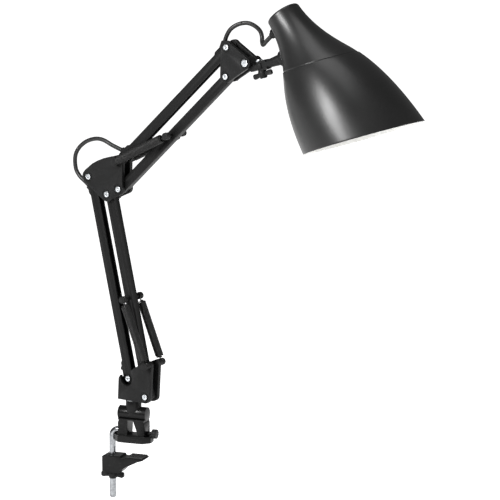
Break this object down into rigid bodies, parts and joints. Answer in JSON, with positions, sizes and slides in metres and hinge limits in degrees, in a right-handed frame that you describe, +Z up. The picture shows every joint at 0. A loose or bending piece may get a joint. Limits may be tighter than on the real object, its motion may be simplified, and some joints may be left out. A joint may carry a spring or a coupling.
{
  "type": "architect desk lamp",
  "caption": "Clamp-on swing-arm desk lamp with two spring-balanced parallelogram arms, a tilting and panning bell-shaped shade and a screw table clamp.",
  "frame": {"origin": "on the arm's vertical swivel axis, at the underside of the clamp's foot pad, which is the face that rests on the table top", "axes": "+Z up along the swivel axis; the arms lie in the XZ plane and the shade hangs over +X; the clamp under them is turned 15 degrees about +Z"},
  "size_m": [0.5008, 0.1398, 0.6328],
  "materials": {
    "plate_black": "moulded satin black",
    "bar_black": "satin black powder coat",
    "spring_black": "black-coated spring wire",
    "shade_black": "satin black outside, white inside",
    "clamp_black": "semi-gloss black",
    "zinc_fastener": "bright zinc",
    "bright_rod": "bright plated",
    "flex_black": "smooth black sheath",
    "rubber_pad": "matt black",
    "holder_black": "moulded black",
    "brass_thread": "bright pressed brass"
  },
  "bodies": {
    "clamp": {"clamp_body": "clamp_black", "foot_pad": "rubber_pad", "socket_bush": "plate_black", "clamp_rod": "bright_rod"},
    "end_screw": {"end_screw": "plate_black"},
    "jaw": {"lower_jaw": "clamp_black", "jaw_pad": "rubber_pad"},
    "clamp_nut": {"clamp_wing_nut": "plate_black"},
    "crank": {"swivel_spigot": "zinc_fastener", "crank_plate_near": "plate_black", "crank_plate_far": "plate_black", "crank_core": "plate_black", "crank_bolts": "zinc_fastener", "crank_nuts": "zinc_fastener", "crank_spring_pegs": "plate_black"},
    "lower_rear_bar": {"rear_bar": "bar_black", "rear_bar_lower_bush": "plate_black", "rear_bar_upper_bush": "plate_black", "rear_bar_flex": "flex_black"},
    "lower_front_bar": {"front_bar": "bar_black", "front_bar_plugs": "plate_black", "lower_spring_pin": "plate_black", "lower_spring_near": "spring_black", "lower_spring_far": "spring_black"},
    "elbow": {"elbow_plate_near": "plate_black", "elbow_plate_far": "plate_black", "elbow_core": "plate_black", "elbow_bolts": "zinc_fastener", "elbow_nuts": "zinc_fastener", "elbow_spring_pin": "plate_black", "elbow_flex_loop": "flex_black"},
    "upper_top_bar": {"top_bar": "bar_black", "top_bar_lower_bush": "plate_black", "top_bar_upper_bush": "plate_black", "top_bar_flex": "flex_black"},
    "upper_bottom_bar": {"bottom_bar": "bar_black", "bottom_bar_plugs": "plate_black", "upper_spring_pin": "plate_black", "upper_spring_near": "spring_black", "upper_spring_far": "spring_black"},
    "head_bracket": {"head_plate_near": "plate_black", "head_plate_far": "plate_black", "head_core": "plate_black", "head_bolts": "zinc_fastener", "head_nuts": "zinc_fastener", "tilt_bolt": "zinc_fastener", "tilt_nut": "plate_black", "head_flex_loop": "flex_black"},
    "tilt_lever": {"tilt_lever": "plate_black", "pan_bolt": "zinc_fastener"},
    "pan_nut": {"pan_wing_nut": "plate_black"},
    "head": {"head_stem": "plate_black", "stem_flange": "plate_black", "stem_locknuts": "zinc_fastener", "shade_neck": "shade_black", "shade_skirt": "shade_black", "lampholder_shell": "holder_black", "lampholder_thread": "brass_thread", "lampholder_contact": "brass_thread", "neck_bush": "plate_black"}
  },
  "joints": [
    {"name": "swivel", "type": "hinge", "parent": "clamp", "child": "crank", "pos_m": [0, 0, 0.045], "axis": [0, 0, 1], "continuous": true},
    {"name": "lower_arm", "type": "hinge", "parent": "crank", "child": "lower_rear_bar", "pos_m": [-0.0034, 0, 0.08], "axis": [0, 1, 0], "range_deg": [-15, 70]},
    {"name": "lower_front_link", "type": "hinge", "parent": "crank", "child": "lower_front_bar", "pos_m": [0.0251, 0, 0.061], "axis": [0, 1, 0], "range_deg": [-15, 70], "deforming": ["lower_spring_near", "lower_spring_far"]},
    {"name": "elbow_level", "type": "hinge", "parent": "lower_rear_bar", "child": "elbow", "pos_m": [-0.06031, 0, 0.32652], "axis": [0, 1, 0], "range_deg": [-70, 15]},
    {"name": "upper_arm", "type": "hinge", "parent": "elbow", "child": "upper_top_bar", "pos_m": [-0.01301, 0, 0.35052], "axis": [0, 1, 0], "range_deg": [-18, 60], "deforming": ["elbow_flex_loop"]},
    {"name": "upper_bottom_link", "type": "hinge", "parent": "elbow", "child": "upper_bottom_bar", "pos_m": [-0.01401, 0, 0.31552], "axis": [0, 1, 0], "range_deg": [-18, 60], "deforming": ["upper_spring_near", "upper_spring_far"]},
    {"name": "head_level", "type": "hinge", "parent": "upper_top_bar", "child": "head_bracket", "pos_m": [0.14935, 0, 0.50192], "axis": [0, 1, 0], "range_deg": [-60, 18]},
    {"name": "head_tilt", "type": "hinge", "parent": "head_bracket", "child": "tilt_lever", "pos_m": [0.17655, 0, 0.48512], "axis": [0, 1, 0], "range_deg": [-50, 40], "deforming": ["head_flex_loop"]},
    {"name": "head_pan", "type": "hinge", "parent": "tilt_lever", "child": "head", "pos_m": [0.19275, 0, 0.48142], "axis": [-0.342, 0, 0.9397], "range_deg": [-60, 60]},
    {"name": "pan_nut_spin", "type": "hinge", "parent": "tilt_lever", "child": "pan_nut", "pos_m": [0.19275, 0, 0.48142], "axis": [-0.342, 0, 0.9397], "continuous": true},
    {"name": "jaw_slide", "type": "slide", "parent": "clamp", "child": "jaw", "axis": [0, 0, 1], "range_m": [-0.02, 0.015]},
    {"name": "clamp_nut_spin", "type": "hinge", "parent": "jaw", "child": "clamp_nut", "pos_m": [-0.02772, -0.00743, -0.045], "axis": [0, 0, 1], "continuous": true},
    {"name": "end_screw_spin", "type": "hinge", "parent": "clamp", "child": "end_screw", "pos_m": [0.02415, 0.00647, 0.0115], "axis": [0.9659, 0.2588, 0], "continuous": true}
  ],
  "couplings": [
    {"joint": "lower_front_link", "follows": "lower_arm", "ratio": 1},
    {"joint": "elbow_level", "follows": "lower_arm", "ratio": -1},
    {"joint": "upper_bottom_link", "follows": "upper_arm", "ratio": 1},
    {"joint": "head_level", "follows": "upper_arm", "ratio": -1},
    {"joint": "clamp_nut_spin", "follows": "jaw_slide", "rad_per_m": 5026.5}
  ]
}
